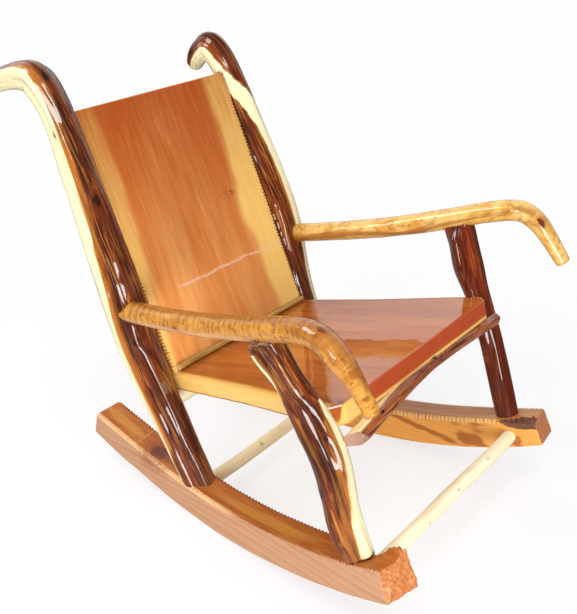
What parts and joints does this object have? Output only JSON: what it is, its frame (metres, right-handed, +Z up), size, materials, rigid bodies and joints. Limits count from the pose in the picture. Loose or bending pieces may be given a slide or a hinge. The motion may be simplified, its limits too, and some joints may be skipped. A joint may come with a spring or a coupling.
{
  "type": "rustic rocking chair",
  "caption": "Rustic rocking chair of peeled, varnished branches: hooked back posts, drooping arms, plank seat and plank back, round stretchers and sawn curved rockers.",
  "frame": {"origin": "on the floor under the middle of the chair's box", "axes": "+Z up; the chair faces -Y; the sitter's left is +X"},
  "size_m": [0.8091, 1.1604, 0.9692],
  "materials": {
    "rocker_wood": "sawn, varnished",
    "back_post_wood": "peeled, glossy varnish",
    "front_post_wood": "peeled, glossy varnish",
    "arm_wood": "peeled, glossy varnish",
    "seat_plank": "planed, mirror-gloss varnish",
    "back_plank": "planed, glossy varnish",
    "batten_wood": "peeled, glossy varnish",
    "rail_wood": "peeled, glossy varnish",
    "peeled_wood": "peeled, satin varnish",
    "dowel_wood": "plain",
    "screw_steel": "plain"
  },
  "bodies": {
    "root": {"right_rocker": "rocker_wood", "left_rocker": "rocker_wood", "right_back_post": "back_post_wood", "left_back_post": "back_post_wood", "right_front_post": "front_post_wood", "left_front_post": "front_post_wood", "right_arm": "arm_wood", "left_arm": "arm_wood", "seat_board": "seat_plank", "back_panel": "back_plank", "back_batten": "batten_wood", "front_seat_rail": "rail_wood", "rear_seat_rail": "peeled_wood", "front_stretcher": "peeled_wood", "rear_stretcher": "peeled_wood", "right_arm_rear_dowel": "dowel_wood", "left_arm_rear_dowel": "dowel_wood", "right_arm_front_dowel": "dowel_wood", "left_arm_front_dowel": "dowel_wood", "right_panel_dowel_1": "dowel_wood", "right_panel_dowel_2": "dowel_wood", "right_panel_dowel_3": "dowel_wood", "left_panel_dowel_1": "dowel_wood", "left_panel_dowel_2": "dowel_wood", "left_panel_dowel_3": "dowel_wood", "right_seat_dowel": "dowel_wood", "left_seat_dowel": "dowel_wood", "right_back_lag_screw": "screw_steel", "left_back_lag_screw": "screw_steel", "right_front_lag_screw": "screw_steel", "left_front_lag_screw": "screw_steel", "right_seat_screw": "screw_steel", "left_seat_screw": "screw_steel", "front_rail_screw_1": "screw_steel", "front_rail_screw_2": "screw_steel"}
  },
  "joints": []
}
